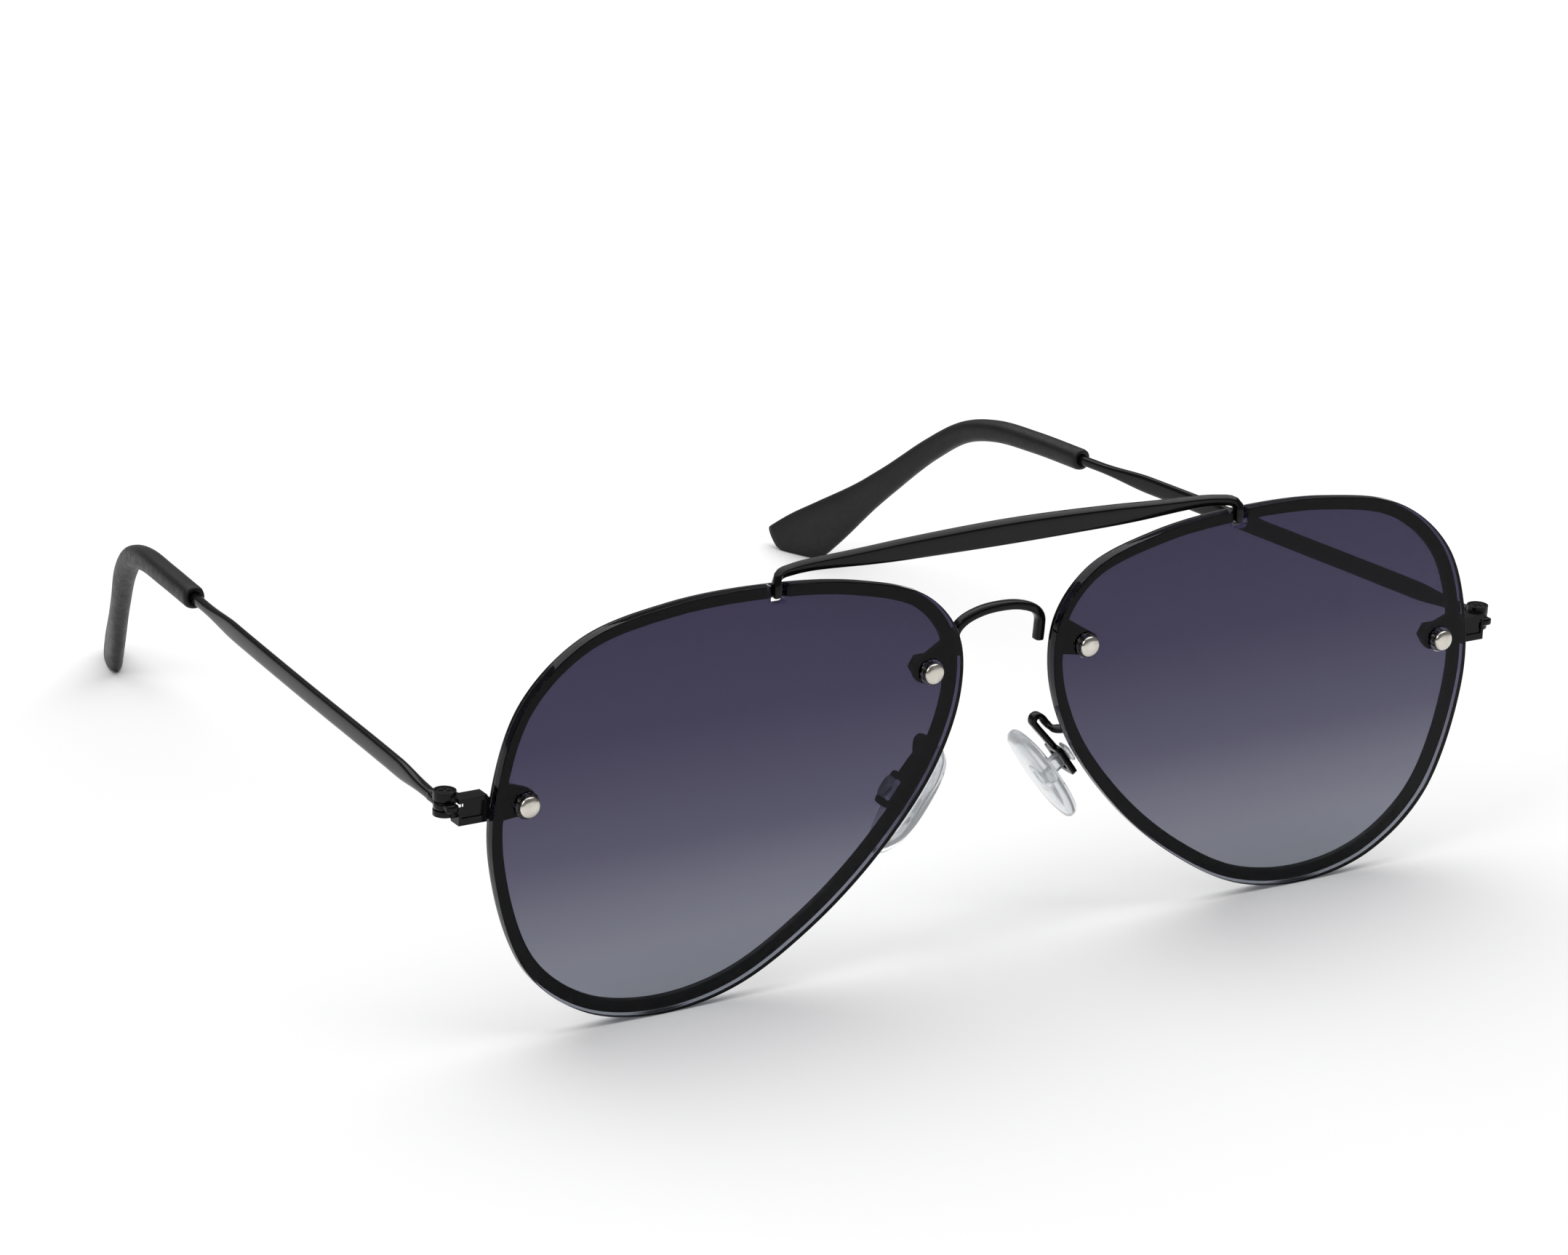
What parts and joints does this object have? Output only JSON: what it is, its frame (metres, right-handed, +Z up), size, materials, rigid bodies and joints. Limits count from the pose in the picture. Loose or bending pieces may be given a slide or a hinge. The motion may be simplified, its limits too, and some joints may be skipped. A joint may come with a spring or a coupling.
{
  "type": "sunglasses",
  "caption": "Aviator sunglasses: flat tinted teardrop lenses set in front of a thin black metal frame, with a straight brow bar, clear nose pads and hinged temples with satin black tips.",
  "frame": {"origin": "centre of the bottom of the bounding box, on the surface that the open glasses stand on", "axes": "+Z up, -Y out of the front of the lenses, +X toward the wearer's left, mirrored about X = 0"},
  "size_m": [0.1426, 0.1334, 0.0515],
  "materials": {
    "tinted_lens": "flat polished lens, grey-violet tint that fades lighter toward the bottom",
    "black_lacquered_metal": "gloss black lacquer over metal wire",
    "polished_nickel": "polished nickel plate",
    "clear_plastic": "clear moulded plastic",
    "clear_silicone": "clear soft silicone, slightly frosted",
    "satin_black_plastic": "satin black plastic"
  },
  "bodies": {
    "front": {"lens_left": "tinted_lens", "lens_right": "tinted_lens", "rim_left": "black_lacquered_metal", "rim_right": "black_lacquered_metal", "end_piece_left": "black_lacquered_metal", "end_piece_right": "black_lacquered_metal", "hinge_screw_left": "black_lacquered_metal", "hinge_screw_right": "black_lacquered_metal", "pad_arm_left": "black_lacquered_metal", "pad_arm_right": "black_lacquered_metal", "temple_stud_nut_left": "black_lacquered_metal", "temple_stud_nut_right": "black_lacquered_metal", "nose_stud_nut_left": "black_lacquered_metal", "nose_stud_nut_right": "black_lacquered_metal", "brow_bar": "black_lacquered_metal", "bridge": "black_lacquered_metal", "temple_lens_stud_left": "polished_nickel", "temple_lens_stud_right": "polished_nickel", "nose_lens_stud_left": "polished_nickel", "nose_lens_stud_right": "polished_nickel", "temple_lens_bushing_left": "clear_plastic", "temple_lens_bushing_right": "clear_plastic", "nose_lens_bushing_left": "clear_plastic", "nose_lens_bushing_right": "clear_plastic"},
    "temple_left_body": {"temple_left": "black_lacquered_metal", "temple_tip_left": "satin_black_plastic"},
    "temple_right_body": {"temple_right": "black_lacquered_metal", "temple_tip_right": "satin_black_plastic"},
    "pad_left_body": {"nose_pad_left": "clear_silicone"},
    "pad_right_body": {"nose_pad_right": "clear_silicone"}
  },
  "joints": [
    {"name": "temple_left_fold", "type": "hinge", "parent": "front", "child": "temple_left_body", "pos_m": [0.07, -0.0621, 0.02835], "axis": [0, 0, 1], "range_deg": [0, 78]},
    {"name": "temple_right_fold", "type": "hinge", "parent": "front", "child": "temple_right_body", "pos_m": [-0.07, -0.0621, 0.02835], "axis": [0, 0, -1], "range_deg": [0, 68]},
    {"name": "nose_pad_left_rock", "type": "hinge", "parent": "front", "child": "pad_left_body", "pos_m": [0.0116, -0.0603, 0.0194], "axis": [-0.5878, 0, 0.809], "range_deg": [-10, 10]},
    {"name": "nose_pad_right_rock", "type": "hinge", "parent": "front", "child": "pad_right_body", "pos_m": [-0.0116, -0.0603, 0.0194], "axis": [0.5878, 0, 0.809], "range_deg": [-10, 10]}
  ]
}
